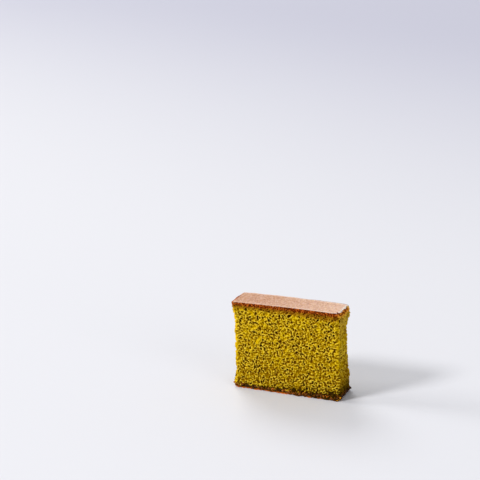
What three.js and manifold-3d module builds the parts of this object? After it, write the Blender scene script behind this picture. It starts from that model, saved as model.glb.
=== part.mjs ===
// A slice of castella sponge cake, standing on its sugared base with its two cut faces to -Y and +Y.
// Millimetres, +Z up. +X runs along the slice. The origin is the middle of its box in plan, on the ground.
import * as THREE from "three";
import { mergeVertices } from "three/addons/utils/BufferGeometryUtils.js";
import Module from "manifold-3d";

const wasm = await Module();
wasm.setup();

// Driving dimensions
const LENGTH = 66; // the width of the loaf that the slice was cut across
const THICKNESS = 18.2; // how thick it was cut
const HEIGHT = 53.1;
const CRUST = 2.4; // the browned layer on top
const FOOT = 3.4; // the syrup-soaked layer at the bottom

// The ends are the loaf's own sides, and draw in between the crust's lip and the foot.
// waist, foot: how far it is drawn in there. skew: the share by which that grows towards +Y.
// slant: how much further out the lip is at its +Y corner.
// lip: from the top down to where it starts to draw in, over the height lipFade.
// belly: from the base up to where it starts to draw in, over the height footFade.
// shoulder, heel: radii of its top and bottom edges. corner: at the lip, of its vertical edges.
const LEFT_END = {
  waist: 1.7,
  foot: 0.15,
  skew: 0.1,
  slant: 0.8,
  lip: 3.2,
  lipFade: 6.5,
  belly: 0,
  footFade: 11.6,
  shoulder: 0.8,
  heel: 2.2,
  corner: 0.9,
};
const RIGHT_END = {
  waist: 1.75,
  foot: 0.75,
  skew: 0.25,
  slant: 0.4,
  lip: 3.6,
  lipFade: 9,
  belly: 12.1,
  footFade: 14.8,
  shoulder: 3,
  heel: 1.2,
  corner: 5.2,
};
const PLAIN_CORNER = 1.5; // plan radius of the vertical edges below the lip
const BACK_CORNER = 0.2; // how much of the lip's radius the edges towards +Y have

// The cut faces and the top
const PROUD = 0.3; // the firm crust and foot stand this far out of the softer crumb
const LEDGE = 0.8; // height of the step under the crust
const CROWN = 0.45; // the top is this much higher in the middle than at its ends
const TOP_FALL = 0.4; // and this much lower at its +Y edge than at its -Y edge
const NICK = { depth: 0.25, from: 1.9, edge: 0.9, height: 3.6 }; // a flake of crust gone from the left lip

// Uneven baking and cutting: how far the surface wanders, and over what length
const CRAGS = { count: 9, wave: 6.5, spread: 0.55, turn: 2.399963, step: 1.7, strength: 2 };
const TOP_CRAG = 0.05;
const FACE_CRAG = 0.1;
const END_CRAG = 0.26;
const FACE_RIM_CRAG = 0.06; // added at the crust and the foot
const END_RIM_CRAG = 0.24; // likewise
const END_BAND = 0.9; // the share of the half length past which an end's relief sets in
const FACE_BAND = 0.7; // likewise across the thickness
const TOP_BAND = 0.8; // likewise up the height

// Coarse sugar that the base was baked on
const GRAIN_SPACING = 2.1;
const GRAIN_RADIUS = { least: 0.65, most: 1.15 };
const GRAIN_TOP = 2.4; // no grain's middle is higher than this
const GRAIN_FLAT = 0.72; // thickness of a grain against its length
const GRAIN_ROUGH = 0.3; // how much its corners differ
const GRAIN_OUT = 0.05; // its middle lies this far out from the cake, as a share of its radius
const GRAIN_SEED = 20;

// Grid of the cake's surface
const CELL = 1.9;
const CRUST_ROWS = 3;
const FOOT_ROWS = 3;

const CAKE_MATERIAL = { color: "#a3821c", roughness: 0.85, metalness: 0 };

const clamp = (value, low, high) => Math.min(high, Math.max(low, value));

function smooth(share) {
  const t = clamp(share, 0, 1);
  return t * t * (3 - 2 * t);
}

// Gentle bumps: waves whose directions and lengths spread by the golden angle, from -1 to 1.
function crag(x, y, z) {
  let sum = 0;
  for (let i = 1; i <= CRAGS.count; i += 1) {
    const azimuth = CRAGS.turn * i;
    const rise = Math.cos(CRAGS.step * i);
    const flat = Math.sqrt(1 - rise * rise);
    const wave = CRAGS.wave * (1 + CRAGS.spread * Math.sin(i));
    const along = x * flat * Math.cos(azimuth) + y * flat * Math.sin(azimuth) + z * rise;
    sum += Math.sin((2 * Math.PI * along) / wave + azimuth * i);
  }
  return (sum / CRAGS.count) * CRAGS.strength;
}

// How far from the middle an end is at a height: its lip slants, and it is drawn in below.
function reach(end, t, z) {
  const belowLip = smooth((HEIGHT - end.lip - z) / end.lipFade);
  const aboveFoot = smooth((z - end.belly) / end.footFade);
  const drawnIn = end.foot + (end.waist - end.foot) * aboveFoot;
  const lip = (1 - belowLip) * end.slant * ((t + 1) / 2) ** 2;
  return LENGTH / 2 + lip - belowLip * (1 + end.skew * t) * drawnIn;
}

// From 0 up to 1 as a share of a half size goes from a band's start out to the surface.
function outward(share, band) {
  return smooth((Math.abs(share) - band) / (1 - band));
}

// 1 in the crumb, 0 at the crust and at the foot.
function crumbShare(z) {
  return smooth((HEIGHT - CRUST - z) / LEDGE) * smooth(z / FOOT - 0.5);
}

// Rounds the corner of a quarter plane: u and v are measured from the middle, out to half sizes U and V.
function rounded(u, v, U, V, radius) {
  const du = Math.abs(u) - (U - radius);
  const dv = Math.abs(v) - (V - radius);
  if (du <= 0 || dv <= 0) {
    return [u, v];
  }
  const scale = Math.max(du, dv) / Math.hypot(du, dv);
  return [Math.sign(u) * (U - radius + du * scale), Math.sign(v) * (V - radius + dv * scale)];
}

// Where a point of a plain block, s and t from -1 to 1 and h from 0 to 1, lies on the cake.
function onCake(s, t, h) {
  const end = s < 0 ? LEFT_END : RIGHT_END;
  let z = h * HEIGHT;
  const halfLength = reach(end, t, z);
  const halfThickness = THICKNESS / 2 - PROUD * crumbShare(z);
  let x = s * halfLength;
  let y = t * halfThickness;

  const middle = HEIGHT / 2;
  const edge = z > middle ? end.shoulder : end.heel;
  [x, z] = rounded(x, z - middle, halfLength, middle, edge);
  z += middle;
  const nearTop = 1 - smooth((HEIGHT - end.lip - z) / end.lipFade);
  const corner = PLAIN_CORNER + (end.corner - PLAIN_CORNER) * nearTop * (t < 0 ? 1 : BACK_CORNER);
  [x, y] = rounded(x, y, halfLength, halfThickness, corner);

  const flake = smooth((y - NICK.from) / NICK.edge) * smooth((z - HEIGHT + NICK.height) / CRUST);
  if (s < 0) {
    x += NICK.depth * flake * outward(s, END_BAND);
  }
  z -= (CROWN * s * s + TOP_FALL * smooth((t + 1) / 2)) * smooth(z / middle);

  const bump = crag(x, y, z);
  const rim = 1 - crumbShare(z);
  x += Math.sign(s) * outward(s, END_BAND) * bump * (END_CRAG + END_RIM_CRAG * rim);
  y += Math.sign(t) * outward(t, FACE_BAND) * bump * (FACE_CRAG + FACE_RIM_CRAG * rim);
  z += outward(h, TOP_BAND) * bump * TOP_CRAG;
  return [x, y, z];
}

// The height of each row of the grid: close rows in the foot, at the ledge and in the crust.
function rowHeights() {
  const heights = [];
  for (let i = 0; i < FOOT_ROWS; i += 1) {
    heights.push((FOOT * i) / FOOT_ROWS);
  }
  const crumb = HEIGHT - CRUST - LEDGE - FOOT;
  const crumbRows = Math.round(crumb / CELL);
  for (let i = 0; i <= crumbRows; i += 1) {
    heights.push(FOOT + (crumb * i) / crumbRows);
  }
  for (let i = 0; i <= CRUST_ROWS; i += 1) {
    heights.push(HEIGHT - CRUST + (CRUST * i) / CRUST_ROWS);
  }
  return heights;
}

function cakeBlock() {
  const heights = rowHeights();
  const rows = heights.length - 1;
  const block = new THREE.BoxGeometry(2, 2, rows, LENGTH / CELL, THICKNESS / CELL, rows);
  const place = block.attributes.position;
  for (let i = 0; i < place.count; i += 1) {
    const row = Math.round(place.getZ(i) + rows / 2);
    place.setXYZ(i, ...onCake(place.getX(i), place.getY(i), heights[row] / HEIGHT));
  }
  return block;
}

// A repeatable draw from 0 to 1.
function drawer(seed) {
  let state = seed;
  return () => {
    state = (state * 1664525 + 1013904223) % 4294967296;
    return state / 4294967296;
  };
}

// One blocky crystal, each of its corners pushed in or out by its own amount.
function sugarGrain(radius, draw) {
  const grain = mergeVertices(bare(new THREE.IcosahedronGeometry(radius, 0)));
  const place = grain.attributes.position;
  const corner = new THREE.Vector3();
  for (let i = 0; i < place.count; i += 1) {
    corner.fromBufferAttribute(place, i).multiplyScalar(1 + GRAIN_ROUGH * (draw() - 0.5));
    place.setXYZ(i, corner.x, corner.y, corner.z);
  }
  grain.scale(1, GRAIN_FLAT, (1 + GRAIN_FLAT) / 2);
  grain.rotateX(draw() * Math.PI);
  grain.rotateZ(draw() * Math.PI * 2);
  return grain;
}

// Grains all round the foot, one after another along its edge.
function sugarGrains() {
  const draw = drawer(GRAIN_SEED);
  const sides = [
    { from: [-1, -1], to: [1, -1], length: LENGTH },
    { from: [1, -1], to: [1, 1], length: THICKNESS },
    { from: [1, 1], to: [-1, 1], length: LENGTH },
    { from: [-1, 1], to: [-1, -1], length: THICKNESS },
  ];
  const grains = [];
  for (const side of sides) {
    const count = Math.round(side.length / GRAIN_SPACING);
    for (let i = 0; i < count; i += 1) {
      const radius = GRAIN_RADIUS.least + (GRAIN_RADIUS.most - GRAIN_RADIUS.least) * draw() ** 2;
      const grain = sugarGrain(radius, draw);
      const share = (i + 0.25 + 0.5 * draw()) / count;
      const s = side.from[0] + (side.to[0] - side.from[0]) * share;
      const t = side.from[1] + (side.to[1] - side.from[1]) * share;
      const height = radius + (GRAIN_TOP - radius) * draw();
      const [x, y] = onCake(s, t, height / HEIGHT);
      const out = new THREE.Vector2(Math.abs(s) === 1 ? s : 0, Math.abs(t) === 1 ? t : 0);
      grain.translate(x + out.x * radius * GRAIN_OUT, y + out.y * radius * GRAIN_OUT, height);
      grain.computeBoundingBox();
      grain.translate(0, 0, Math.max(0, -grain.boundingBox.min.z));
      grains.push(grain);
    }
  }
  return grains;
}

function bare(geometry) {
  geometry.deleteAttribute("normal");
  geometry.deleteAttribute("uv");
  return geometry;
}

function asSolid(geometry) {
  const merged = mergeVertices(bare(geometry));
  const vertProperties = new Float32Array(merged.attributes.position.array);
  const triVerts = new Uint32Array(merged.index.array);
  return new wasm.Manifold(new wasm.Mesh({ numProp: 3, vertProperties, triVerts }));
}

function asGeometry(solid) {
  const { vertProperties, triVerts } = solid.getMesh();
  const geometry = new THREE.BufferGeometry();
  geometry.setAttribute("position", new THREE.BufferAttribute(vertProperties, 3));
  geometry.setIndex(new THREE.BufferAttribute(triVerts, 1));
  return geometry;
}

// Centres the box on the origin in plan. The foot is already on the ground.
function centred(geometry) {
  geometry.computeBoundingBox();
  const middle = geometry.boundingBox.getCenter(new THREE.Vector3());
  geometry.translate(-middle.x, -middle.y, 0);
  return geometry;
}

function castellaSlice() {
  let solid = asSolid(cakeBlock());
  for (const grain of sugarGrains()) {
    solid = solid.add(asSolid(grain));
  }
  const geometry = centred(asGeometry(solid));
  geometry.computeVertexNormals();
  const mesh = new THREE.Mesh(geometry, new THREE.MeshStandardMaterial(CAKE_MATERIAL));
  mesh.name = "castella_slice";
  return mesh;
}

const cake = new THREE.Group();
cake.add(castellaSlice());

export default cake;
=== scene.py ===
"""The looks of a slice of green tea castella sponge cake.

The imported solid's form is repeated here from the same named sizes, on a grid fine enough for the
crumb. Both cut faces are opened by thousands of bubbles, and a band of baked skin runs round them:
crust on top, the loaf's two sides, and the soaked underside. Lengths are millimetres until they go
into a mesh.
"""

import itertools
import math

import bpy
import numpy as np
from mathutils import Matrix, Vector


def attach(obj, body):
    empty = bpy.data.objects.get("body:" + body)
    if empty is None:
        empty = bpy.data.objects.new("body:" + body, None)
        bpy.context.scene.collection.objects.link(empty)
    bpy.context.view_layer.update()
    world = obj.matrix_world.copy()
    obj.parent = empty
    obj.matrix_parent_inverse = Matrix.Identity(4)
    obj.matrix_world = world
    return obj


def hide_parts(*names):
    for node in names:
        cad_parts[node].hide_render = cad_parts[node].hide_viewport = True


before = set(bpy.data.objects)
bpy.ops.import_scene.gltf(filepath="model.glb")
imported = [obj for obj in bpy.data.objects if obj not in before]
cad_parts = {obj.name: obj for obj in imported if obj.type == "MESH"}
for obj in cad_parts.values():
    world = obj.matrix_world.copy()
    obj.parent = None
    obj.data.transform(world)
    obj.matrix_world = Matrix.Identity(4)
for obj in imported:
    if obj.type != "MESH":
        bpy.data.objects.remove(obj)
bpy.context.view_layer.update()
NODE = "castella_slice"
MM = 0.001

# Driving dimensions, as the solid has them
LENGTH = 66.0
THICKNESS = 18.2
HEIGHT = 53.1
CRUST = 2.4  # the browned layer on top
FOOT = 3.4  # the syrup-soaked layer at the bottom

# The ends are the loaf's own sides, and draw in between the crust's lip and the foot.
# waist, foot: how far it is drawn in there. skew: the share by which that grows towards +Y.
# slant: how much further out the lip is at its +Y corner.
# lip: from the top down to where it starts to draw in, over the height lip_fade.
# belly: from the base up to where it starts to draw in, over the height foot_fade.
# shoulder, heel: radii of its top and bottom edges. corner: at the lip, of its vertical edges.
LEFT_END = dict(
    waist=1.7, foot=0.15, skew=0.1, slant=0.8, lip=3.2, lip_fade=6.5, belly=0.0, foot_fade=11.6,
    shoulder=0.8, heel=2.2, corner=0.9,
)
RIGHT_END = dict(
    waist=1.75, foot=0.75, skew=0.25, slant=0.4, lip=3.6, lip_fade=9.0, belly=12.1, foot_fade=14.8,
    shoulder=3.0, heel=1.2, corner=5.2,
)
PLAIN_CORNER = 1.5  # plan radius of the vertical edges below the lip
BACK_CORNER = 0.2  # how much of the lip's radius the edges towards +Y have

# The cut faces and the top
PROUD = 0.3  # the firm crust and foot stand this far out of the softer crumb
LEDGE = 0.8  # height of the step under the crust
CROWN = 0.45  # the top is this much higher in the middle than at its ends
TOP_FALL = 0.4  # and this much lower at its +Y edge than at its -Y edge
NICK = dict(depth=0.25, start=1.9, edge=0.9, height=3.6)  # a flake of crust gone from the left lip

# Uneven baking and cutting: how far the surface wanders, and over what length
CRAGS = dict(count=9, wave=6.5, spread=0.55, turn=2.399963, step=1.7, strength=2.0)
TOP_CRAG = 0.05
FACE_CRAG = 0.1
END_CRAG = 0.26
FACE_RIM_CRAG = 0.06  # added at the crust and the foot
END_RIM_CRAG = 0.24  # likewise
END_BAND = 0.9  # the share of the half length past which an end's relief sets in
FACE_BAND = 0.7  # likewise across the thickness
TOP_BAND = 0.8  # likewise up the height

# Coarse sugar on the foot, as the solid has it
GRAIN_SPACING = 2.1
GRAIN_LEAST = 0.65
GRAIN_MOST = 1.15
GRAIN_TOP = 2.4  # the highest that a grain's middle is
GRAIN_FLAT = 0.72  # thickness of a grain against its length
GRAIN_ROUGH = 0.3  # how much its corners differ
GRAIN_OUT = 0.05  # its middle lies this far out from the cake, as a share of its radius
GRAIN_STRAY = 0.5  # how much of its own stretch of the edge it may lie on, round the middle
GRAIN_SEED = 20

# Smaller crystals that lie between the solid's grains
BIT_SPACING = 0.62
BIT_LEAST = 0.22
BIT_MOST = 0.6
BIT_TOP = 3.0
BIT_SEED = 31

# Shades of the crystals, from 0 to 1: in patches, for each by itself, and by where it lies, with
# painted shade towards the back
SHADE_MIDDLE = 0.3
SHADE_PATCHES = ((4.5, 0.7), (0.7, 0.45))  # wavelengths and how much each changes the shade
SHADE_SEED = 81
SHADE_RIGHTWARD = 0.5  # how much paler the right end is than the left
LEFT_PALER = 0.6
LEFT_REACH = 6.0
BACK_PAINTED_SHADE = 0.7
BACK_FROM = -0.7  # of the thickness
AMBER_CRYSTAL = (LENGTH / 2 - 1.4, -THICKNESS / 2 + 1.1, 0.8)  # one painted as if light shone through it
AMBER_REACH = 1.8
AMBER_SHADE = 2.0  # past the common shades, so that the material can tell it apart

# The grid
FINE = 0.2  # along and up the cut faces
ACROSS = 74  # steps of the baked skin from one cut face to the other

# Bubbles of the crumb, largest first: how many of a size are tried on a cut face, and their radii
BUBBLES = ((4000, 0.64, 0.9), (13000, 0.46, 0.64), (7000, 0.32, 0.46))
SKIN_BUBBLES = 1.2  # how many are tried on the baked skin, against a cut face
BUBBLE_GAP = 0.78  # how near two bubbles may lie, as a share of their radii added up
BUBBLE_CUT = 0.35  # how far a bubble's middle may lie from the knife's cut, in radii
BUBBLE_LONGER = 0.5  # the most that a bubble is longer than its radius, as a share of it
BUBBLE_NARROWER = 0.22  # likewise narrower
BUBBLE_DEPTH = 1.4  # in radii
BUBBLE_DEEPER = 0.9  # the most that a bubble is deeper than that
BUBBLE_EDGE = 0.3  # how far a bubble's wall takes to round over into the cut face
BUBBLE_START = 0.2  # the share of that edge that is broken away
SHALLOWEST = 0.25  # of a bubble's depth: some have all but closed behind the knife
DEEPEST = 2.2
WARP = ((1.7, 0.5), (0.8, 0.3))  # what bends the bubbles out of round: wavelengths and how far

# The largest radius that a bubble may have at a place
LARGEST = 1.05
LARGEST_DENSE = 0.3  # in the densest crust and foot, which is too small for any
DENSE_CRUST = 0.9  # how far down from the top the crust is densest
DENSE_FOOT = 0.8  # how far up from the base the foot is
CRUST_GROWTH = 0.18  # how much it grows with each millimetre below the crust
FOOT_GROWTH = 0.22  # likewise above the foot
BUBBLE_PATCH = 4.6  # how far apart the patches of larger and smaller bubbles are
PATCH_VARIES = 0.15  # how much their sizes differ
OPEN_PATCH = 3.0  # how far apart the patches of deep and nearly closed bubbles are
OPEN_VARIES = 0.1  # how much their depths differ

# The crumb between the pores, and the crust's fine wrinkles: wavelengths and heights
CLUMPS = ((1.8, 0.1), (1.15, 0.43), (0.7, 0.17))
FOOT_ROUGHER = 0.5  # how much higher the clumps are in the foot
WRINKLES = ((0.9, 0.03), (0.45, 0.02))

# The loaf's sides, whose crumb is torn open as well
MEAN_DEPTH = 0.4  # how far the pores set a side back on the whole, so their rims stand this far out
LEFT_RIM_LEAST = 0.7  # the share of that just below the lip
RIGHT_RIM_LEAST = 0.0
RIM_FADE = 12.0  # how far below the crust it is all of it
TORN_REACH = 1.6  # how far along a cut face its crumb has broken away at the ends
TORN_PORES = 0.7  # how much of a pore's depth shows there
TORN_DEEPEST = 0.8
TORN_OUT = 1.4  # how far the rims stand out there, against those on the sides
TORN_WAVE = 1.4
TORN_FAR = 0.42  # how far the broken edge wanders
SIDE_FROM = 0.985  # past this share of the half length the skin is a side, of the height the top
SIDE_FADE = 0.01
SKIN_FOLLOWS = 0.9  # how far in from a cut face the skin follows that face's uneven rim

# How far the browning and the syrup reach at the left end, and how much further at the right end
BROWN_DEPTH = 2.8
BROWN_DEEPER = 0.7
SYRUP_HEIGHT = 2.2
SYRUP_HIGHER = 2.8

# Values that the materials read from the mesh
PORE_START = -0.2  # the depth that counts as no pore
PORE_RANGE = 1.8  # how much deeper a full pore is
RIDGE_CELLS = 4  # a wall between pores stands above the mean depth of this many cells around it
RIDGE_HEIGHT = 0.6

# Seeds of the noise and of the bubbles; a cut face adds its side to most of its own
FACE_SEEDS = dict(size=40, warp=20, open=60, bubbles=7, clumps=1, torn=5)
SKIN_SEEDS = dict(size=50, warp=30, open=70, bubbles=9, clumps=11, wrinkles=14)

# What mixes a place's whole numbers into a repeatable value
PLACE_MIXERS = (73856093, 19349663, 83492791)
SEED_MIXER = 2654435761
WORD_MIXERS = (1274126177, 2246822519)
WORD = 0xFFFFFFFF
NOISE_ORIGIN = 1000.0  # keeps the noise's whole numbers above zero

# The solid's own repeatable draws
DRAW_TIMES = 1664525
DRAW_PLUS = 1013904223
DRAW_SIZE = 4294967296

# Margins round the parts of the colour maps, as shares of a map
FACE_MARGIN = 0.002
RING_MARGIN = 0.004


def smooth(share):
    t = np.clip(share, 0.0, 1.0)
    return t * t * (3.0 - 2.0 * t)


def outward(share, band):
    return smooth((np.abs(share) - band) / (1.0 - band))


def crag(x, y, z):
    """Gentle bumps: waves whose directions and lengths spread by the golden angle."""
    total = np.zeros(np.broadcast(x, y, z).shape)
    for i in range(1, CRAGS["count"] + 1):
        azimuth = CRAGS["turn"] * i
        rise = math.cos(CRAGS["step"] * i)
        flat = math.sqrt(1.0 - rise * rise)
        wave = CRAGS["wave"] * (1.0 + CRAGS["spread"] * math.sin(i))
        along = x * flat * math.cos(azimuth) + y * flat * math.sin(azimuth) + z * rise
        total += np.sin(2.0 * math.pi * along / wave + azimuth * i)
    return total / CRAGS["count"] * CRAGS["strength"]


def crumb_share(z):
    """1 in the crumb, 0 at the crust and at the foot."""
    return smooth((HEIGHT - CRUST - z) / LEDGE) * smooth(z / FOOT - 0.5)


def rounded(u, v, half_u, half_v, radius):
    """Rounds the corners of a rectangle that is measured from its middle."""
    du = np.abs(u) - (half_u - radius)
    dv = np.abs(v) - (half_v - radius)
    cut = (du > 0.0) & (dv > 0.0)
    scale = np.maximum(du, dv) / np.maximum(np.hypot(du, dv), 1e-9)
    new_u = np.where(cut, np.sign(u) * (half_u - radius + du * scale), u)
    new_v = np.where(cut, np.sign(v) * (half_v - radius + dv * scale), v)
    return new_u, new_v


def on_cake(s, t, h, bumpy=True):
    """Where a point of a plain block, s and t from -1 to 1 and h from 0 to 1, lies on the cake."""
    s, t, h = np.broadcast_arrays(s, t, h)
    end = {key: np.where(s < 0, LEFT_END[key], RIGHT_END[key]) for key in LEFT_END}
    z = h * HEIGHT
    below_lip = smooth((HEIGHT - end["lip"] - z) / end["lip_fade"])
    above_foot = smooth((z - end["belly"]) / end["foot_fade"])
    drawn_in = end["foot"] + (end["waist"] - end["foot"]) * above_foot
    lip = (1.0 - below_lip) * end["slant"] * ((t + 1.0) / 2) ** 2
    half_length = LENGTH / 2 + lip - below_lip * (1.0 + end["skew"] * t) * drawn_in
    half_thickness = THICKNESS / 2 - PROUD * crumb_share(z)
    x = s * half_length
    y = t * half_thickness

    middle = HEIGHT / 2
    edge = np.where(z > middle, end["shoulder"], end["heel"])
    x, z = rounded(x, z - middle, half_length, middle, edge)
    z = z + middle
    near_top = 1.0 - smooth((HEIGHT - end["lip"] - z) / end["lip_fade"])
    back = np.where(t < 0, 1.0, BACK_CORNER)
    corner = PLAIN_CORNER + (end["corner"] - PLAIN_CORNER) * near_top * back
    x, y = rounded(x, y, half_length, half_thickness, corner)

    flake = smooth((y - NICK["start"]) / NICK["edge"])
    flake = flake * smooth((z - HEIGHT + NICK["height"]) / CRUST)
    x = x + np.where(s < 0, NICK["depth"] * flake * outward(s, END_BAND), 0.0)
    z = z - (CROWN * s * s + TOP_FALL * smooth((t + 1.0) / 2)) * smooth(z / middle)

    bump = crag(x, y, z) if bumpy else 0.0
    rim = 1.0 - crumb_share(z)
    x = x + np.sign(s) * outward(s, END_BAND) * bump * (END_CRAG + END_RIM_CRAG * rim)
    y = y + np.sign(t) * outward(t, FACE_BAND) * bump * (FACE_CRAG + FACE_RIM_CRAG * rim)
    z = z + outward(h, TOP_BAND) * bump * TOP_CRAG
    return np.stack([x, y, z], axis=-1)


def lattice(ix, iy, iz, seed):
    """A repeatable value from -1 to 1 for each whole-numbered place."""
    x_mixer, y_mixer, z_mixer = PLACE_MIXERS
    n = (ix * x_mixer) ^ (iy * y_mixer) ^ (iz * z_mixer) ^ (seed * SEED_MIXER)
    n = ((n ^ (n >> 13)) * WORD_MIXERS[0]) & WORD
    n = ((n ^ (n >> 15)) * WORD_MIXERS[1]) & WORD
    return (n ^ (n >> 16)) / WORD * 2.0 - 1.0


def grain(points, wave, seed):
    """Smooth noise from -1 to 1 over places in space, its bumps about a wave apart."""
    place = points / wave + NOISE_ORIGIN
    low = np.floor(place).astype(np.int64)
    part = smooth(place - low)
    total = 0.0
    for dx in (0, 1):
        for dy in (0, 1):
            for dz in (0, 1):
                ix, iy, iz = np.moveaxis(low + [dx, dy, dz], -1, 0)
                weight = np.abs(1 - dx - part[..., 0]) * np.abs(1 - dy - part[..., 1])
                weight = weight * np.abs(1 - dz - part[..., 2])
                total = total + weight * lattice(ix, iy, iz, seed)
    return total


def layered(points, waves, seed):
    """Noise of several wavelengths, each with its own strength, added up."""
    return sum(far * grain(points, wave, seed + i) for i, (wave, far) in enumerate(waves))


def stations():
    """The grid's places along, across and up the cake."""
    s = np.linspace(-1.0, 1.0, round(LENGTH / FINE) + 1)
    t = np.linspace(-1.0, 1.0, ACROSS + 1)
    h = np.linspace(0.0, 1.0, round(HEIGHT / FINE) + 1)
    return s, t, h


def crust_share(x, below_top):
    """0 on the top, 1 where the browning ends, which is deeper towards the right end."""
    return below_top / (BROWN_DEPTH + BROWN_DEEPER * smooth(x / LENGTH + 0.5) ** 2)


def foot_share(x, height):
    """0 on the base, 1 where the syrup ends, which has risen further towards the right end."""
    return height / (SYRUP_HEIGHT + SYRUP_HIGHER * smooth(x / LENGTH + 0.5))


def depth_below_top(place):
    """How far a place lies below the crowned top."""
    s = place[..., 0] / (LENGTH / 2)
    t = place[..., 1] / (THICKNESS / 2)
    return HEIGHT - CROWN * s * s - TOP_FALL * smooth((t + 1.0) / 2) - place[..., 2]


def largest_bubble(place, seed):
    """Bubbles stay small in the dense crust and in the soaked foot, and vary in patches."""
    crust = LARGEST_DENSE + CRUST_GROWTH * (depth_below_top(place) - DENSE_CRUST)
    foot = LARGEST_DENSE + FOOT_GROWTH * (place[..., 2] - DENSE_FOOT)
    most = np.clip(np.minimum(crust, foot), 0.0, LARGEST)
    return np.maximum(most * (1.0 + PATCH_VARIES * grain(place, BUBBLE_PATCH, seed)), LARGEST_DENSE)


def openness(place, seed):
    """How deep the bubbles are in patches, up to 1."""
    return 1.0 - OPEN_VARIES + OPEN_VARIES * grain(place, OPEN_PATCH, seed)


def rims(place):
    """How far the pores' rims stand out on the loaf's sides: less just below the lip."""
    least = np.where(place[..., 0] < 0, LEFT_RIM_LEAST, RIGHT_RIM_LEAST)
    below_lip = smooth((depth_below_top(place) - CRUST) / RIM_FADE)
    return MEAN_DEPTH * (least + (1.0 - least) * below_lip)


def warped(flat, place, seed):
    """A grid's two coordinates, bent so that round bubbles come out uneven."""
    for wave, far in WARP:
        push = [grain(place, wave, seed + axis) for axis in (1, 2)]
        flat = flat + far * np.stack(push, -1)
        seed += 2
    return flat


def bubble_bowl(du, dv, radius, stretch, turn, sunk):
    """The shape of one cut bubble, from 0 to about 1, at places this far from its middle."""
    wide = radius * (1.0 + BUBBLE_LONGER * stretch)
    narrow = radius * (1.0 - BUBBLE_NARROWER * stretch)
    angle = turn * math.pi
    lengthwise = (du * math.cos(angle) + dv * math.sin(angle)) / wide
    crosswise = (dv * math.cos(angle) - du * math.sin(angle)) / narrow
    out = np.hypot(lengthwise, crosswise)
    middle = BUBBLE_CUT * (2.0 * sunk - 1.0)
    opening = math.sqrt(1.0 - middle * middle)
    wall = smooth((opening - out) * radius / BUBBLE_EDGE + BUBBLE_START)
    return np.where(out < opening, (np.clip(1.0 - out * out, 0.0, 1.0) - middle) * wall, 0.0)


def pore_depths(flat, limit, patches, share, seed):
    """How deep the bubbles that were cut open reach behind a grid.

    flat has the grid's two coordinates at each place, limit the largest bubble there, and patches
    how deep bubbles are there. share is how many are tried, against a cut face.
    """
    rng = np.random.default_rng(seed)
    rows, columns = limit.shape
    clear = np.full((rows, columns), LENGTH)
    depth = np.zeros((rows, columns))
    most = BUBBLES[0][2]
    for count, least, greatest in BUBBLES:
        for radius in np.sort(rng.uniform(least, greatest, round(count * share)))[::-1]:
            i, j = rng.integers(0, rows), rng.integers(0, columns)
            tall, stretch, turn, sunk, open_share = rng.uniform(0.0, 1.0, 5)
            if clear[i, j] < BUBBLE_GAP * radius or radius > limit[i, j]:
                continue
            reach = int((BUBBLE_GAP * radius + most) / FINE) + 1
            window = tuple(slice(max(k - reach, 0), k + reach + 1) for k in (i, j))
            du, dv = np.moveaxis(flat[window] - flat[i, j], -1, 0)
            clear[window] = np.minimum(clear[window], np.hypot(du, dv) - BUBBLE_GAP * radius)
            deep = radius * (BUBBLE_DEPTH + BUBBLE_DEEPER * tall) * patches[i, j]
            deep *= SHALLOWEST + (1.0 - SHALLOWEST) * open_share**2
            bowl = deep * bubble_bowl(du, dv, radius, stretch, turn, sunk)
            depth[window] = np.maximum(depth[window], bowl)
    return np.minimum(depth, DEEPEST)


def blurred(field, reach):
    """The mean of a grid's values over the cells within this reach."""
    for axis in (0, 1):
        edge = [(0, 0), (0, 0)]
        edge[axis] = (reach + 1, reach)
        total = np.cumsum(np.pad(field, edge, mode="edge"), axis=axis)
        size = field.shape[axis]
        ahead = np.take(total, np.arange(size) + 2 * reach + 1, axis=axis)
        field = (ahead - np.take(total, np.arange(size), axis=axis)) / (2 * reach + 1)
    return field


def ridges(depth):
    """1 on the thin walls that stand between pores, 0 in the pores, and a half where it is even."""
    return np.clip((blurred(depth, RIDGE_CELLS) - depth) / RIDGE_HEIGHT + 0.5, 0.0, 1.0)


def pore_share(depth):
    """0 on the crumb's surface, 1 at the bottom of a full pore."""
    return np.clip((depth - PORE_START) / PORE_RANGE, 0.0, 1.0)


def clumps(place, seed):
    """How far the crumb stands proud between its pores: small clumps, higher in the foot."""
    in_foot = 1.0 - smooth(place[..., 2] / (2.0 * FOOT))
    return layered(place, CLUMPS, seed) * (1.0 + FOOT_ROUGHER * in_foot)


def cut_face(side, s, h):
    """One cut face: its grid of points and, for each, how far it lies behind the knife's cut."""
    seeds = {name: seed + side for name, seed in FACE_SEEDS.items()}
    plain = on_cake(s[None, :], np.array(float(side)), h[:, None])
    limit = largest_bubble(plain, seeds["size"])
    flat = warped(plain[..., [0, 2]], plain, seeds["warp"])
    depth = pore_depths(flat, limit, openness(plain, seeds["open"]), 1.0, seeds["bubbles"])
    standing = clumps(plain, FACE_SEEDS["clumps"]) * smooth(depth_below_top(plain) / CRUST)
    inward = depth - standing
    # Near the face's own ends the crumb has broken away along the face too.
    from_end = (1.0 - np.abs(s)) * LENGTH / 2
    ends = smooth(1.0 - from_end / TORN_REACH)[None, :] * crumb_share(plain[..., 2])
    torn = TORN_PORES * np.minimum(depth, TORN_DEEPEST) - TORN_OUT * rims(plain)
    torn += TORN_FAR * grain(plain, TORN_WAVE, FACE_SEEDS["torn"])
    move = np.zeros_like(plain)
    move[..., 1] = -side * inward
    move[..., 0] = -np.sign(s)[None, :] * ends * torn
    return plain + move, inward


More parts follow.
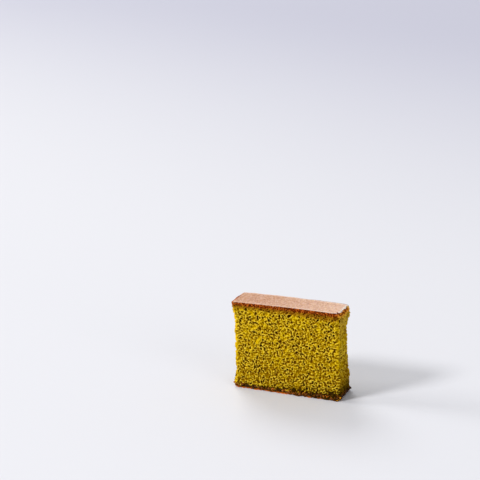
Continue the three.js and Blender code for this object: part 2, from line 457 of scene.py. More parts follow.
def ring_stations(s, h):
    """The way round the cut faces' edge, up the left end first, and each side's count of places."""
    up = np.stack([np.full(len(h), -1.0), h], 1)[:-1]
    along = np.stack([s, np.full(len(s), 1.0)], 1)[:-1]
    down = np.stack([np.full(len(h), 1.0), h[::-1]], 1)[:-1]
    back = np.stack([s[::-1], np.full(len(s), 0.0)], 1)[:-1]
    return np.concatenate([up, along, down, back]), [len(up), len(along), len(down), len(back)]


def face_rim(face):
    """A cut face's outermost points in the ring's order."""
    return np.concatenate([face[:-1, 0], face[-1, :-1], face[:0:-1, -1], face[0, :0:-1]])


def ring_normals(points):
    """Unit normals of a grid of points whose rows close on themselves."""
    down = np.roll(points, -1, 0) - np.roll(points, 1, 0)
    normal = np.cross(down, np.gradient(points, axis=1))
    return normal / np.maximum(np.linalg.norm(normal, axis=-1, keepdims=True), 1e-9)


def baked_skin(front, back, s, t, h):
    """The band between the cut faces, which shares their edges, and its pores' depths."""
    ring, _ = ring_stations(s, h)
    plain = on_cake(ring[:, :1], t[None, :], ring[:, 1:])
    on_end = smooth((np.abs(ring[:, :1]) - SIDE_FROM) / SIDE_FADE) * crumb_share(plain[..., 2])
    on_top = smooth((ring[:, 1:] - SIDE_FROM) / SIDE_FADE)
    steps = np.diff(plain[:, 0], axis=0, prepend=plain[:1, 0])
    way_round = np.cumsum(np.linalg.norm(steps, axis=-1))
    flat = np.stack(np.broadcast_arrays(way_round[:, None], plain[..., 1]), -1)
    limit = largest_bubble(plain, SKIN_SEEDS["size"]) * on_end
    flat = warped(flat, plain, SKIN_SEEDS["warp"])
    patches = openness(plain, SKIN_SEEDS["open"])
    depth = pore_depths(flat, limit, patches, SKIN_BUBBLES, SKIN_SEEDS["bubbles"])
    depth = depth - clumps(plain, SKIN_SEEDS["clumps"]) * on_end
    wrinkles = layered(plain, WRINKLES, SKIN_SEEDS["wrinkles"])
    normal = ring_normals(plain)
    from_middle = plain - [0, 0, HEIGHT / 2]
    outside = normal * np.sign(np.sum(normal * from_middle, axis=-1, keepdims=True))
    skin = plain + outside * (on_top * wrinkles + on_end * (rims(plain) - depth))[..., None]
    for face, edge in ((front, 0), (back, -1)):
        gap = np.abs(plain[..., 1] - plain[:, edge, None, 1])
        near = (1.0 - smooth(gap / SKIN_FOLLOWS))[..., None]
        moved = (face_rim(face) - plain[:, edge])[:, None, :]
        skin = skin + near * (moved + plain - skin)
    skin[:, 0] = face_rim(front)
    skin[:, -1] = face_rim(back)
    return skin, depth


def quads(rows, columns, closed=False):
    """The corners of each cell of a grid of rows times columns points."""
    r = np.arange(rows if closed else rows - 1)
    after = (r + 1) % rows
    c = np.arange(columns - 1)
    a = r[:, None] * columns + c[None, :]
    d = after[:, None] * columns + c[None, :]
    return np.stack([a, a + 1, d + 1, d], -1).reshape(-1, 4)


def make_mesh(name, points, faces, values=None, uv=None):
    """A mesh object from points in millimetres, with named values for each point."""
    mesh = bpy.data.meshes.new(name)
    faces = np.asarray(faces)
    corners = faces.shape[1]
    mesh.vertices.add(len(points))
    mesh.vertices.foreach_set("co", (points * MM).astype(np.float32).ravel())
    mesh.loops.add(faces.size)
    mesh.loops.foreach_set("vertex_index", faces.ravel().astype(np.int32))
    mesh.polygons.add(len(faces))
    mesh.polygons.foreach_set("loop_start", np.arange(0, faces.size, corners, dtype=np.int32))
    mesh.polygons.foreach_set("use_smooth", np.ones(len(faces), dtype=bool))
    mesh.update(calc_edges=True)
    for key, value in (values or {}).items():
        layer = mesh.attributes.new(key, "FLOAT", "POINT")
        layer.data.foreach_set("value", np.asarray(value, dtype=np.float32).ravel())
    if uv is not None:
        layer = mesh.uv_layers.new(name="OFBake")
        layer.data.foreach_set("uv", uv.astype(np.float32).ravel())
    mesh.validate()
    piece = bpy.data.objects.new(name, mesh)
    bpy.context.scene.collection.objects.link(piece)
    return piece


def finish_piece(piece, material):
    piece.data.materials.append(material)
    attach(piece, "root")
    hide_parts(NODE)


def srgb(red, green, blue):
    """A colour as it looks on a screen, from 0 to 255, in the linear values that nodes take."""
    def linear(value):
        share = value / 255.0
        return share / 12.92 if share <= 0.04045 else ((share + 0.055) / 1.055) ** 2.4

    return (linear(red), linear(green), linear(blue), 1.0)


class Nodes:
    """Short calls for building a material's nodes."""

    def __init__(self, name):
        self.material = bpy.data.materials.new(name)
        self.material.use_nodes = True
        self.tree = self.material.node_tree
        self.shader = self.tree.nodes["Principled BSDF"]
        self.place = self.tree.nodes.new("ShaderNodeTexCoord").outputs["Object"]

    def feed(self, node, sockets):
        """Puts plain values or other nodes' outputs into a node's sockets."""
        for socket, source in sockets.items():
            if isinstance(source, (int, float, tuple)):
                node.inputs[socket].default_value = source
            else:
                self.tree.links.new(source, node.inputs[socket])

    def node(self, kind, sockets, **settings):
        """A new node with these settings, its sockets fed."""
        node = self.tree.nodes.new("ShaderNode" + kind)
        for name, value in settings.items():
            setattr(node, name, value)
        self.feed(node, sockets)
        return node

    def value(self, name):
        """What the mesh says under this name."""
        return self.node("Attribute", {}, attribute_name=name).outputs["Fac"]

    def along(self, axis):
        """How far along an axis a place lies, in millimetres."""
        place = self.node("SeparateXYZ", {"Vector": self.place})
        return self.times(place.outputs[axis], 1.0 / MM)

    def noise(self, wave_mm, detail=2.0, rough=0.5):
        sockets = {"Scale": 1.0 / (wave_mm * MM), "Detail": detail, "Roughness": rough}
        return self.node("TexNoise", {"Vector": self.place, **sockets}).outputs["Fac"]

    def maths(self, operation, a, b, c=0.0):
        return self.node("Math", {0: a, 1: b, 2: c}, operation=operation).outputs[0]

    def times(self, a, b):
        return self.maths("MULTIPLY", a, b)

    def uneven(self, source, *waves):
        """The source moved up and down by noise, of these wavelengths and by these amounts."""
        for wave_mm, amount in waves:
            swing = self.maths("MULTIPLY_ADD", self.noise(wave_mm), 2.0 * amount, -amount)
            source = self.maths("ADD", source, swing)
        return source

    def fade(self, source, start, end, most=1.0, *waves):
        """From 0 where the source is at the start to the most at the end, moved by noise."""
        sockets = {"Value": self.uneven(source, *waves), "To Max": most}
        sockets.update({"From Min": start, "From Max": end})
        return self.node("MapRange", sockets, interpolation_type="SMOOTHSTEP").outputs["Result"]

    def patches(self, wave_mm, start, end, most=1.0, *look):
        """Patches of noise, from the value where they begin to that where they are full."""
        return self.fade(self.noise(wave_mm, *look), start, end, most)

    def ramp(self, source, stops):
        node = self.node("ValToRGB", {"Fac": source})
        elements = node.color_ramp.elements
        while len(elements) < len(stops):
            elements.new(0.5)
        for element, (place, colour) in zip(elements, stops):
            element.position = place
            element.color = colour
        return node.outputs["Color"]

    def mix(self, share, a, b):
        """Colour a where the share is 0, and b where it is 1."""
        return self.node("Mix", {0: share, 6: a, 7: b}, data_type="RGBA").outputs[2]

    def done(self, colour, roughness, bumps, scatter=(0.0, 0.0), gloss=0.5):
        """The material. Its bumps have a depth, a strength and what their noise takes."""
        depth_mm, strength, *look = bumps
        share, reach_mm = scatter
        height = self.noise(*look)
        sockets = {"Strength": strength, "Distance": depth_mm * MM, "Height": height}
        bump = self.node("Bump", sockets)
        sockets = {
            "Normal": bump.outputs["Normal"],
            "Base Color": colour,
            "Roughness": roughness,
            "Specular IOR Level": gloss,
            "Subsurface Weight": share,
            "Subsurface Radius": SCATTER_RADIUS,
            "Subsurface Scale": reach_mm * MM,
        }
        self.feed(self.shader, sockets)
        return self.material


# Colours of the cake, some of them painted light or shade as marked
# painted highlight on the thin walls between pores
WALL_HIGHLIGHT = srgb(224, 192, 54)
RIDGE = srgb(220, 185, 0)
CRUMB = srgb(174, 138, 0)
# painted shade: the crumb part way down its pores and at their bottoms
HOLLOW = srgb(116, 76, 0)
PIT_SHADE = srgb(58, 28, 0)
WARM_CRUMB = srgb(196, 140, 6)
CRUST_DARK = srgb(106, 38, 5)
CRUST_BLACK = srgb(52, 18, 2)
CRUST_GOLD = srgb(198, 104, 34)
CRUST_UNDER = srgb(158, 108, 18)
# the top crust's tans, painted lighter than its own brown with part of its sheen
TOP_TAN = srgb(182, 126, 88)
TOP_PALE = srgb(224, 187, 162)
TOP_FLECK = srgb(158, 104, 72)
# painted highlight on the top's rounded edges
TOP_HIGHLIGHT = srgb(255, 242, 228)
CRUST_WRAP = srgb(238, 146, 46)
# painted light: the wrap's back edge as lit from behind
WRAP_BACKLIGHT = srgb(255, 196, 92)
SKIN = srgb(176, 138, 2)
SKIN_PALE = srgb(214, 178, 66)
# painted light: the gold of crumb lit along its upright edges and at the upper left
PAINTED_LIGHT_GOLD = srgb(244, 201, 14)
SOAKED = srgb(54, 36, 5)
SOAKED_BROWN = srgb(112, 60, 12)
DAMP = srgb(98, 74, 4)
DAMP_DARK = srgb(72, 52, 6)
BASE_EDGE = srgb(200, 102, 14)
SUGAR_PALE = srgb(206, 118, 18)
# painted light: a crystal as lit through
SUGAR_LIT_AMBER = srgb(255, 162, 26)
SUGAR_DARK = srgb(58, 30, 6)
FLOOR = srgb(215, 215, 220)
# painted shade of the far floor
FLOOR_FAR_SHADE = srgb(184, 184, 199)

# How much light scatters inside and how far in millimetres, and how matt and finely bumped each is
SCATTER_RADIUS = (1.0, 0.85, 0.2)  # how far red, green and blue go against that
CRUMB_SCATTER = (0.2, 0.5)
SKIN_SCATTER = (0.12, 0.5)
SUGAR_SCATTER = (0.3, 1.2)
CRUMB_ROUGHNESS = 0.9
SKIN_ROUGHNESS = 0.55
SUGAR_ROUGHNESS = 0.5
FLOOR_ROUGHNESS = 0.6
CRUMB_GLOSS = 0.0
TOP_GLOSS = 0.4
SUGAR_GLOSS = 0.15
CRUMB_BUMPS = (0.12, 0.7, 0.35, 3.0, 0.6)
SKIN_BUMPS = (0.08, 0.6, 0.32, 3.0, 0.6)
SUGAR_BUMPS = (0.05, 0.5, 0.4)
FLOOR_BUMPS = (0.01, 0.1, 2.0)

# The crumb's colours from its surface down into its pores, darker with depth as painted shade
CRUMB_SHADE_STOPS = ((0.05, RIDGE), (0.2, CRUMB), (0.42, HOLLOW), (0.7, PIT_SHADE))

# Shares in which colours are mixed
LAP_PALER = 0.4
# how far the painted sheen turns the top pale towards the right end
TOP_PALER = 0.58
FLECKS_LEAST = 0.6  # how pale the top's flecks are at the left end
FLECKS_RIGHTWARD = 0.35  # and how much paler at the right end, under the painted sheen
TORN_LEAST = 0.28  # how torn a side's crumb looks near the top
TORN_LOWER = 0.7  # and how much more towards the foot

# Patches of a colour: wavelength, the noise's values where they begin and are full, and where it
# matters how strong they are and the noise's detail and roughness
BLACK_PATCHES = (1.3, 0.48, 0.36)
GOLD_SPECKS = (0.9, 0.5, 0.6)
WET_PATCHES = (1.7, 0.47, 0.58)
WARM_PATCHES = (4.5, 0.42, 0.62, 0.12, 3.0)
TOP_FLECKS = (1.3, 0.42, 0.68, 0.85, 4.0, 0.75)
PALE_FLECKS = (0.95, 0.42, 0.62, 1.0, 3.0, 0.6)
LIP_PATCHES = (1.0, 0.4, 0.52)
HOLLOW_PATCHES = (1.2, 0.47, 0.61, 1.0, 3.0, 0.6)
WRAP_PATCHES = (1.2, 0.45, 0.53)
WRAP_RIBS = (1.1, 0.5, 0.58)
SUGAR_PATCHES = (0.9, 0.45, 0.65)

# Noise that moves the bands of a colour up and down: wavelengths, and how far
CRUST_WAVES = ((2.2, 0.34), (0.9, 0.3))
FOOT_WAVES = ((3.0, 0.9), (1.2, 0.9))
END_WAVES = ((1.2, 0.9),)
WRAP_WAVES = ((1.8, 0.7), (0.9, 0.5))

# Bands of a colour: where they begin and are full, and where it matters how strong they are and the
# noise that moves them. Those of the crust and of the foot are in shares of the browned and of the
# soaked layer, those of pores, ridges and shades in shares, and the rest in millimetres.
UNDER_BAND = (1.85, 1.05, 0.9)  # duller crumb under the crust
# painted shade in the pores under the crust
UNDER_PORE_SHADE = (0.15, 0.55, 0.8)
DARK_BAND = (0.86, 0.46)  # the crust's dark edge
THICK_LEFT = (14.0, -6.0)  # along the slice: the dark edge is thicker towards the left
THICKER = 0.16
LAP_BAND = (0.13, 0.04, 1.0, (1.5, 0.2), (0.8, 0.12))  # the tan top laps over the edge
LAP_LEFT = (8.0, -14.0)
FOOT_BAND = (1.1, 0.7)
CRUMB_DAMP = (2.3, 0.9, 0.3)  # dampened crumb above the foot
SKIN_DAMP = (2.3, 0.9, 0.75)
SOAKED_BAND = (0.5, 0.9, 1.0, (1.4, 0.4))
CARAMEL_BAND = (0.95, 0.35, 1.0, (1.0, 0.3))  # the caramel line on the base
CARAMEL_LEFT = (16.0, -12.0, 1.0, (3.4, 60.0))
DEEP_BAND = (44.0, 2.0, 0.5)  # up the slice: the crumb is darker towards the foot, partly moister crumb and partly painted shade of light falling off downwards
PAINTED_LIGHT_LEFT = (-6.0, -28.0, 0.09)  # and painted light, the crumb a little lighter at the upper left
PAINTED_LIGHT_UP = (10.0, 26.0)
# where the painted highlight on the walls sets in and is full
WALL_LIGHT_BAND = (0.6, 1.0)
EDGE_LIGHT_BAND = (2.3, 0.5, 0.44, (1.2, 0.5))  # painted highlight, in from the upright edges
EDGE_LIGHT_LEFT = (10.0, -10.0)
EDGE_LIGHT_UP = (18.0, 34.0)
# painted sheen, growing towards the right end
SHEEN_RIGHTWARD = (-20.0, 34.0, 1.0, (9.0, 14.0))
TOP_RIM_HIGHLIGHT = (2.0, 0.4, 0.5, (1.5, 0.6))  # painted highlight, in from the cut faces' edges
# painted sheen near the right end
SHEEN_NEAR_RIGHT = (LENGTH / 2 - 4.5, LENGTH / 2 - 2.4, 0.6)
# painted highlight on the right end's rounded edge
HIGHLIGHT_AT_RIGHT = (LENGTH / 2 - 2.6, LENGTH / 2 - 1.6)
AT_LEFT = (-LENGTH / 2 + 1.7, -LENGTH / 2 + 1.0, 1.0, (1.4, 0.4), (0.6, 0.3))
SCALLOPS = (0.55, 0.1, 1.0, (0.8, 0.4))  # dark, likewise from the cut faces' edges
SCALLOPS_RIGHTWARD = (-6.0, 16.0)
LIP_FORWARD = (3.8, 2.2)  # through the thickness
SMOOTHER_BELOW = (3.0, 22.0)
TORN_BELOW = (4.0, 26.0, 1.0, (6.0, 6.0))
# painted shade in the sides' pores
SKIN_PORE_SHADE = (0.18, 0.52)
SIDE_DEEP = (26.0, 6.0, 0.62)
SIDE_WET = (9.5, 5.0, 0.75, (1.8, 4.5))
WRAP_RIGHTWARD = (-20.0, 20.0)
WRAP_FADE = (3.8, 2.0, 0.55)  # the top's browning wraps over the ends
WRAP_DARK = (2.2, 1.4)
WRAP_RIM = (1.25, 0.8)
BACKLIT_BAND = (6.0, 7.8, 0.9)  # through the thickness: painted backlight along the back edge
REAR_BELOW = (3.4, 2.4)
TOP_BELOW = (0.5, 0.34, 1.0, (1.3, 0.9), (0.7, 0.4))
AMBER_SHADES = (1.1, 1.4)


def browned(n, colour, pore):
    """Adds the browned crust as the knife shows it: dark with golden specks, and duller below."""
    crust = n.uneven(n.value("crust"), *CRUST_WAVES)
    # painted shade in the pores under the crust
    under = n.mix(n.fade(pore, *UNDER_PORE_SHADE), CRUST_UNDER, CRUST_DARK)
    colour = n.mix(n.fade(crust, *UNDER_BAND), colour, under)
    dark = n.mix(n.patches(*BLACK_PATCHES), CRUST_DARK, CRUST_BLACK)
    dark = n.mix(n.patches(*GOLD_SPECKS), dark, CRUST_GOLD)
    thicker = n.maths("MULTIPLY_ADD", n.fade(n.along("X"), *THICK_LEFT), -THICKER, crust)
    colour = n.mix(n.fade(thicker, *DARK_BAND), colour, dark)
    lap = n.times(n.fade(n.value("crust"), *LAP_BAND), n.fade(n.along("X"), *LAP_LEFT))
    return n.mix(lap, colour, n.mix(LAP_PALER, TOP_TAN, TOP_PALE))


def soaked(n, colour, damp):
    """Adds the soaked foot: damp crumb, nearly black patches, brown, a caramel line on the base."""
    foot = n.uneven(n.value("foot"), *FOOT_WAVES)
    colour = n.mix(n.fade(foot, *damp), colour, DAMP)
    wet = n.mix(n.patches(*WET_PATCHES), SOAKED, SOAKED_BROWN)
    wet = n.mix(n.fade(n.value("foot"), *SOAKED_BAND), wet, SOAKED)
    caramel = n.fade(n.along("Z"), *CARAMEL_BAND)
    wet = n.mix(n.times(caramel, n.fade(n.along("X"), *CARAMEL_LEFT)), wet, BASE_EDGE)
    return n.mix(n.fade(foot, *FOOT_BAND), colour, wet)


def crumb_colour(n, pore):
    """Open sponge, with painted highlights on its thin walls, painted shade down in its pores,
    painted light at the upper left and a darker foot.
    """
    colour = n.mix(n.patches(*WARM_PATCHES), n.ramp(pore, CRUMB_SHADE_STOPS), WARM_CRUMB)
    # darker towards the foot: moister crumb, and painted shade of light falling off downwards
    colour = n.mix(n.fade(n.along("Z"), *DEEP_BAND), colour, HOLLOW)
    # painted light, a little lighter towards the upper left
    painted_light = n.times(n.fade(n.along("X"), *PAINTED_LIGHT_LEFT), n.fade(n.along("Z"), *PAINTED_LIGHT_UP))
    colour = n.mix(painted_light, colour, PAINTED_LIGHT_GOLD)
    # painted highlight where thin walls stand between pores
    return n.mix(n.fade(n.value("ridge"), *WALL_LIGHT_BAND), colour, WALL_HIGHLIGHT)


def painted_edge_light(n, colour):
    """Adds a painted highlight: paler crumb along the upright edges, as lit where they round over.
    """
    share = n.maths("ADD", n.fade(n.along("X"), *EDGE_LIGHT_LEFT), n.fade(n.along("Z"), *EDGE_LIGHT_UP))
    edge = n.times(n.fade(n.value("arris"), *EDGE_LIGHT_BAND), n.maths("MINIMUM", share, 1.0))
    return n.mix(edge, colour, PAINTED_LIGHT_GOLD)


def crumb_material():
    n = Nodes("crumb")
    pore = n.value("pore")
    colour = soaked(n, browned(n, painted_edge_light(n, crumb_colour(n, pore)), pore), CRUMB_DAMP)
    return n.done(colour, CRUMB_ROUGHNESS, CRUMB_BUMPS, CRUMB_SCATTER, CRUMB_GLOSS)


def top_colour(n):
    """Matt tan crust, finely flecked, with a painted sheen that grows towards the right end and
    painted highlights along its rims and at the right end.
    """
    # painted sheen, growing towards the right end
    sheen_rightward = n.fade(n.value("along"), *SHEEN_RIGHTWARD)
    colour = n.mix(sheen_rightward, TOP_TAN, n.mix(TOP_PALER, TOP_TAN, TOP_PALE))
    colour = n.mix(n.patches(*TOP_FLECKS), colour, TOP_FLECK)
    pale = n.maths("MULTIPLY_ADD", sheen_rightward, FLECKS_RIGHTWARD, FLECKS_LEAST)
    colour = n.mix(n.times(n.patches(*PALE_FLECKS), pale), colour, TOP_PALE)
    # painted highlights along the rims and at the right end
    rim = n.mix(sheen_rightward, TOP_PALE, TOP_HIGHLIGHT)
    colour = n.mix(n.fade(n.value("arris"), *TOP_RIM_HIGHLIGHT), colour, rim)
    lengthwise = n.uneven(n.value("along"), *END_WAVES)
    colour = n.mix(n.fade(lengthwise, *SHEEN_NEAR_RIGHT), colour, TOP_PALE)
    colour = n.mix(n.fade(lengthwise, *HIGHLIGHT_AT_RIGHT), colour, TOP_HIGHLIGHT)
    scallop = n.fade(n.value("arris"), *SCALLOPS)
    scallop = n.times(scallop, n.fade(n.along("X"), *SCALLOPS_RIGHTWARD))
    colour = n.mix(scallop, colour, CRUST_DARK)
    lip = n.times(n.fade(n.value("along"), *AT_LEFT), n.fade(n.along("Y"), *LIP_FORWARD))
    return n.mix(lip, colour, n.mix(n.patches(*LIP_PATCHES), CRUST_GOLD, CRUST_DARK))


def side_colour(n, pore):
    """Pressed crumb down the sides, smoother near the top, torn and damp towards the foot, with
    painted shade in its pores and painted light along the upright edges.
    """
    smoother = n.mix(n.fade(n.value("below_top"), *SMOOTHER_BELOW), SKIN_PALE, SKIN)
    smoother = n.mix(n.patches(*HOLLOW_PATCHES), smoother, HOLLOW)
    lower = n.fade(n.value("below_top"), *TORN_BELOW)
    torn = n.maths("MULTIPLY_ADD", lower, TORN_LOWER, TORN_LEAST)
    colour = n.mix(torn, smoother, crumb_colour(n, pore))
    # painted shade in the pores, and painted light along the upright edges
    colour = painted_edge_light(n, n.mix(n.fade(pore, *SKIN_PORE_SHADE), colour, HOLLOW))
    colour = n.mix(n.fade(n.along("Z"), *SIDE_DEEP), colour, HOLLOW)
    return n.mix(n.fade(n.along("Z"), *SIDE_WET), colour, DAMP_DARK)


def wrapped(n, colour):
    """Adds the browning where the top wraps over the ends: amber, with dark ribs on the rim, and
    painted backlight along the back edge.
    """
    below = n.uneven(n.value("below_top"), *WRAP_WAVES)
    wrap = n.mix(n.fade(n.along("X"), *WRAP_RIGHTWARD), CRUST_GOLD, CRUST_WRAP)
    colour = n.mix(n.fade(below, *WRAP_FADE), colour, wrap)
    spots = n.mix(n.patches(*WRAP_PATCHES), wrap, CRUST_DARK)
    colour = n.mix(n.fade(below, *WRAP_DARK), colour, spots)
    ribs = n.mix(n.patches(*WRAP_RIBS), CRUST_DARK, wrap)
    colour = n.mix(n.fade(below, *WRAP_RIM), colour, ribs)
    # painted backlight on the wrap's back edge
    backlit = n.times(n.fade(n.along("Y"), *BACKLIT_BAND), n.fade(below, *REAR_BELOW))
    return n.mix(backlit, colour, WRAP_BACKLIGHT)


def skin_material():
    """The baked outside: crust over the top and its shoulders, and crumb down the ends."""
    n = Nodes("baked_skin")
    colour = wrapped(n, side_colour(n, n.value("pore")))
    on_top = n.fade(n.value("below_top"), *TOP_BELOW)
    colour = soaked(n, n.mix(on_top, colour, top_colour(n)), SKIN_DAMP)
    return n.done(colour, SKIN_ROUGHNESS, SKIN_BUMPS, SKIN_SCATTER, n.times(on_top, TOP_GLOSS))


def sugar_material():
    """Amber crystals of coarse sugar, each its own shade, and one painted as lit through."""
    n = Nodes("coarse_sugar")
    colour = n.mix(n.value("shade"), SUGAR_DARK, SUGAR_PALE)
    colour = n.mix(n.patches(*SUGAR_PATCHES), colour, SUGAR_DARK)
    # painted light on the one crystal lit through
    colour = n.mix(n.fade(n.value("shade"), *AMBER_SHADES), colour, SUGAR_LIT_AMBER)
    return n.done(colour, SUGAR_ROUGHNESS, SUGAR_BUMPS, SUGAR_SCATTER, SUGAR_GLOSS)


def drawer(seed):
    """The solid's own repeatable draw from 0 to 1."""
    state = seed
    while True:
        state = (state * DRAW_TIMES + DRAW_PLUS) % DRAW_SIZE
        yield state / DRAW_SIZE


def icosahedron():
    """A crystal's plain form, with its corners 1 from the middle: they and its faces."""
    golden = (1.0 + math.sqrt(5.0)) / 2.0
    points = []
    for a in (-1.0, 1.0):
        for b in (-golden, golden):
            points += [(a, b, 0.0), (0.0, a, b), (b, 0.0, a)]
    points = np.array(points) / math.hypot(1.0, golden)
    edge = 2.0 / math.hypot(1.0, golden) + 1e-6
    near = np.linalg.norm(points[:, None] - points[None], axis=-1) < edge
    faces = []
    for i, j, k in itertools.combinations(range(len(points)), 3):
        if near[i, j] and near[j, k] and near[i, k]:
            inward = np.dot(np.cross(points[j] - points[i], points[k] - points[i]), points[i]) < 0
            faces.append((i, k, j) if inward else (i, j, k))
    return points, np.array(faces)


def turned(points, about_x, about_z):
    """Points turned about X and then about Z."""
    cx, sx, cz, sz = math.cos(about_x), math.sin(about_x), math.cos(about_z), math.sin(about_z)
    tilt = np.array([[1, 0, 0], [0, cx, -sx], [0, sx, cx]])
    spin = np.array([[cz, -sz, 0], [sz, cz, 0], [0, 0, 1]])
    return points @ (spin @ tilt).T


def crystals(draw, spacing, least, most, top):
    """Crystals of these radii round the foot, each as its points, in the solid's own order."""
    crystal, _ = icosahedron()
    points = []
    sides = (((-1, -1), (1, -1), LENGTH), ((1, -1), (1, 1), THICKNESS))
    sides += (((1, 1), (-1, 1), LENGTH), ((-1, 1), (-1, -1), THICKNESS))
    for start, end, length in sides:
        count = round(length / spacing)
        for i in range(count):
            radius = least + (most - least) * next(draw) ** 2
            push = np.array([1.0 + GRAIN_ROUGH * (next(draw) - 0.5) for _ in crystal])
            grown = crystal * radius * push[:, None] * [1.0, GRAIN_FLAT, (1.0 + GRAIN_FLAT) / 2]
            about_x = next(draw) * math.pi
            grown = turned(grown, about_x, next(draw) * 2.0 * math.pi)
            share = (i + (1.0 - GRAIN_STRAY) / 2 + GRAIN_STRAY * next(draw)) / count
            s = start[0] + (end[0] - start[0]) * share
            t = start[1] + (end[1] - start[1]) * share
            height = radius + (top - radius) * next(draw)
            x, y, _ = on_cake(np.array(s), np.array(t), np.array(height / HEIGHT))
            out = radius * GRAIN_OUT
            x += s * out if abs(s) == 1 else 0.0
            y += t * out if abs(t) == 1 else 0.0
            grown = grown + [x, y, height]
            grown[:, 2] += max(0.0, -grown[:, 2].min())
            points.append(grown)
    return points


def grain_shades(middle):
    """How pale each crystal is, given where its middle lies, with painted shade towards the back
    and one crystal painted as lit through.
    """
    x, y, _ = middle.T
    shade = SHADE_MIDDLE + layered(middle, SHADE_PATCHES, SHADE_SEED) + SHADE_RIGHTWARD * x / LENGTH
    shade += LEFT_PALER * smooth((-LENGTH / 2 - x) / LEFT_REACH + 1.0)
    # painted shade towards the back
    shade -= BACK_PAINTED_SHADE * smooth(y / THICKNESS - BACK_FROM)
    from_amber = np.linalg.norm(middle - AMBER_CRYSTAL, axis=1)
    return np.where(from_amber < AMBER_REACH, AMBER_SHADE, np.clip(shade, 0.0, 1.0))


def sugar_grains():
    """The solid's grains and the bits between them: points, faces and each point's shade."""
    grains = crystals(drawer(GRAIN_SEED), GRAIN_SPACING, GRAIN_LEAST, GRAIN_MOST, GRAIN_TOP)
    grains += crystals(drawer(BIT_SEED), BIT_SPACING, BIT_LEAST, BIT_MOST, BIT_TOP)
    grains = np.array(grains)
    faces = icosahedron()[1][None] + np.arange(len(grains))[:, None, None] * grains.shape[1]
    shades = np.repeat(grain_shades(grains.mean(1)), grains.shape[1])
    return grains.reshape(-1, 3), faces.reshape(-1, 3), shades


def map_places(count, margin):
    """Even places from one margin of a colour map to the other."""
    return margin + (1.0 - 2.0 * margin) * np.arange(count) / (count - 1)


def cell_corners(u, v):
    """Where the corners of a grid's cells lie on a colour map, in the order of its quads."""
    grid = np.stack(np.broadcast_arrays(u, v), -1)
    corners = [grid[:-1, :-1], grid[:-1, 1:], grid[1:, 1:], grid[1:, :-1]]
    return np.stack(corners, 2).reshape(-1, 2)


def ring_uv(counts, across):
    """Places on the colour map for the skin's cells: its four stretches, one above another."""
    uv = []
    for k, count in enumerate(counts):
        u = RING_MARGIN + (1.0 - 2.0 * RING_MARGIN) * np.arange(count + 1) / max(counts)
        v = (k + map_places(across, 4 * RING_MARGIN)) / len(counts)
        uv.append(cell_corners(u[:, None], v[None, :]))
    return np.concatenate(uv)


def face_uv(rows, columns):
    """Places on the colour map for a cut face's cells, over the whole map."""
    u, v = map_places(columns, FACE_MARGIN), map_places(rows, FACE_MARGIN)
    return cell_corners(u[None, :], v[:, None])


def surface_values(plain, depth, below):
    """What the materials read at each point of a grid, which lies this far below the top."""
    return {
        "pore": pore_share(depth),
        "ridge": ridges(depth),
        "crust": crust_share(plain[..., 0], below),
        "foot": foot_share(plain[..., 0], plain[..., 2]),
    }


def face_piece(name, side, s, h, face, depth, material):
    """The piece of one cut face, whose faces look outward."""
    plain = on_cake(s[None, :], np.array(side), h[:, None], bumpy=False)
    values = surface_values(plain, depth, depth_below_top(plain))
    values["arris"] = (1.0 - np.abs(s))[None, :] * LENGTH / 2 * np.ones_like(depth)
    faces, uv = quads(*depth.shape), face_uv(*depth.shape)
    if side > 0:
        faces = faces[:, ::-1]
        uv = uv.reshape(-1, 4, 2)[:, ::-1].reshape(-1, 2)
    piece = make_mesh(name, face.reshape(-1, 3), faces, values, uv)
    finish_piece(piece, material)


def skin_piece(s, t, h, skin, depth):
    """The piece of the baked skin, a band that closes on itself."""
    ring, counts = ring_stations(s, h)
    plain = on_cake(ring[:, :1], t[None, :], ring[:, 1:], bumpy=False)
    below = np.maximum(depth_below_top(plain), 0.0)
    values = surface_values(plain, depth, below)
    values["arris"] = (1.0 - np.abs(t))[None, :] * THICKNESS / 2 * np.ones_like(below)
    values["below_top"] = below
    values["along"] = plain[..., 0]
    faces, uv = quads(*depth.shape, closed=True), ring_uv(counts, len(t))
    piece = make_mesh("baked_skin", skin.reshape(-1, 3), faces, values, uv)
    finish_piece(piece, skin_material())


def sugar_piece(grains, faces, shades):
    """The piece of all the crystals, with flat sides."""
    piece = make_mesh("coarse_sugar", grains, faces, {"shade": shades})
    piece.data.polygons.foreach_set("use_smooth", np.zeros(len(faces), dtype=bool))
    finish_piece(piece, sugar_material())


def cake_pieces():
    """Builds the slice and moves it in plan so that the middle of its box is at the origin."""
    s, t, h = stations()
    front, front_depth = cut_face(-1, s, h)
    back, back_depth = cut_face(1, s, h)
    skin, skin_depth = baked_skin(front, back, s, t, h)
    grains, grain_faces, shades = sugar_grains()
    everything = np.concatenate([part.reshape(-1, 3) for part in (front, back, skin, grains)])
    middle = (everything.min(0) + everything.max(0)) / 2
    shift = np.array([-middle[0], -middle[1], 0.0])

    crumb = crumb_material()
    face_piece("crumb_front", -1.0, s, h, front + shift, front_depth, crumb)
    face_piece("crumb_back", 1.0, s, h, back + shift, back_depth, crumb)
    skin_piece(s, t, h, skin + shift, skin_depth)
    sugar_piece(grains + shift, grain_faces, shades)


# The photograph's camera, in the cake's frame
VIEW_AZIMUTH = 24.08
VIEW_ELEVATION = 17.11
VIEW_ROLL = 1.62
VIEW_DEPTH = 795.6  # from the camera to the cake's foot, along the line of sight
FOCAL_PX = 1370.1
FOOT_PX = (291.6, 388.15)  # the middle of the cake's foot in the 480 by 480 picture
PICTURE_PX = 480.0
SENSOR_MM = 36.0
NEAREST_M = 0.01
FARTHEST_M = 20.0


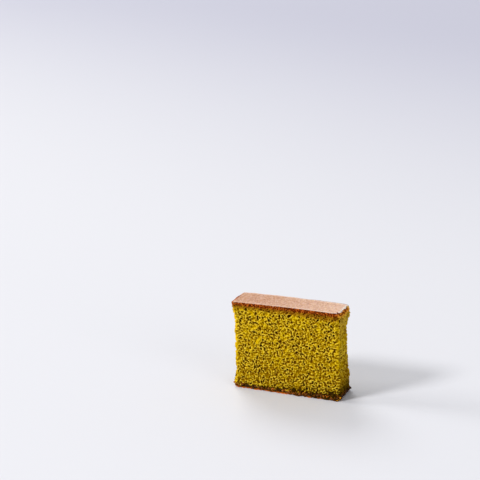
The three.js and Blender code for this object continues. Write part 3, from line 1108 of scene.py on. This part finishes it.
def make_camera():
    """The camera, turned about the line of sight as the photograph is."""
    a, e, r = (math.radians(v) for v in (VIEW_AZIMUTH, VIEW_ELEVATION, VIEW_ROLL))
    ahead = Vector((-math.sin(a) * math.cos(e), math.cos(a) * math.cos(e), -math.sin(e)))
    level = Vector((math.cos(a), math.sin(a), 0.0))
    below = ahead.cross(level)
    right = level * math.cos(r) + below * math.sin(r)
    down = below * math.cos(r) - level * math.sin(r)
    across = (FOOT_PX[0] - PICTURE_PX / 2) / FOCAL_PX
    under = (FOOT_PX[1] - PICTURE_PX / 2) / FOCAL_PX
    place = -(right * across + down * under + ahead) * VIEW_DEPTH * MM
    data = bpy.data.cameras.new("camera")
    data.sensor_width = SENSOR_MM
    data.lens = FOCAL_PX * SENSOR_MM / PICTURE_PX
    data.clip_start, data.clip_end = NEAREST_M, FARTHEST_M
    camera = bpy.data.objects.new("camera", data)
    camera.matrix_world = Matrix((
        (right.x, -down.x, -ahead.x, place.x),
        (right.y, -down.y, -ahead.y, place.y),
        (right.z, -down.z, -ahead.z, place.z),
        (0.0, 0.0, 0.0, 1.0),
    ))
    bpy.context.scene.collection.objects.link(camera)
    bpy.context.scene.camera = camera


def toward(azimuth, elevation):
    """The direction of a place seen from the cake, its azimuth from the front towards +X."""
    a, e = math.radians(azimuth), math.radians(elevation)
    return Vector((math.sin(a) * math.cos(e), -math.cos(a) * math.cos(e), math.sin(e)))


def soft_sun(name, azimuth, elevation, spread, strength):
    """An even light from this direction with shadows as soft as its spread, all in degrees."""
    data = bpy.data.lights.new(name, "SUN")
    data.angle = math.radians(spread)
    data.energy = strength
    lamp = bpy.data.objects.new(name, data)
    lamp.rotation_mode = "QUATERNION"
    lamp.rotation_quaternion = (-toward(azimuth, elevation)).to_track_quat("-Z", "Y")
    bpy.context.scene.collection.objects.link(lamp)


# Each light's name, azimuth, elevation, spread and strength
LIGHTS = (
    ("front", -44.0, 38.0, 14.0, 2.0),
    ("back", 222.0, 42.0, 30.0, 1.1),
    ("side", -84.0, 24.0, 20.0, 1.25),
    ("fill", 64.0, 22.0, 30.0, 0.45),
)
WORLD_COLOUR = (0.97, 0.98, 1.0, 1.0)
WORLD_STRENGTH = 0.4
FAR_BAND = (100.0, 1300.0)  # where the floor turns to its painted shade behind the cake
FAR_SLANT = 0.4  # how much that goes by X beside Y


def make_floor():
    """A plain floor as far as the camera sees, painted darker far behind the cake as shade."""
    n = Nodes("floor")
    behind = n.maths("MULTIPLY_ADD", n.along("X"), FAR_SLANT, n.along("Y"))
    colour = n.mix(n.fade(behind, *FAR_BAND), FLOOR, FLOOR_FAR_SHADE)
    material = n.done(colour, FLOOR_ROUGHNESS, FLOOR_BUMPS)
    corners = np.array([[-1.0, -1.0, 0.0], [1.0, -1.0, 0.0], [1.0, 1.0, 0.0], [-1.0, 1.0, 0.0]])
    floor = make_mesh("floor", corners * FARTHEST_M / MM, [[0, 1, 2, 3]])
    floor.data.materials.append(material)


def make_studio():
    """The floor, an even pale surround and the lights."""
    make_floor()
    world = bpy.data.worlds.new("studio")
    world.use_nodes = True
    background = world.node_tree.nodes["Background"]
    background.inputs["Color"].default_value = WORLD_COLOUR
    background.inputs["Strength"].default_value = WORLD_STRENGTH
    bpy.context.scene.world = world
    for light in LIGHTS:
        soft_sun(*light)
    bpy.context.scene.view_settings.view_transform = "Standard"
    bpy.context.scene.view_settings.look = "None"


cake_pieces()
make_camera()
make_studio()
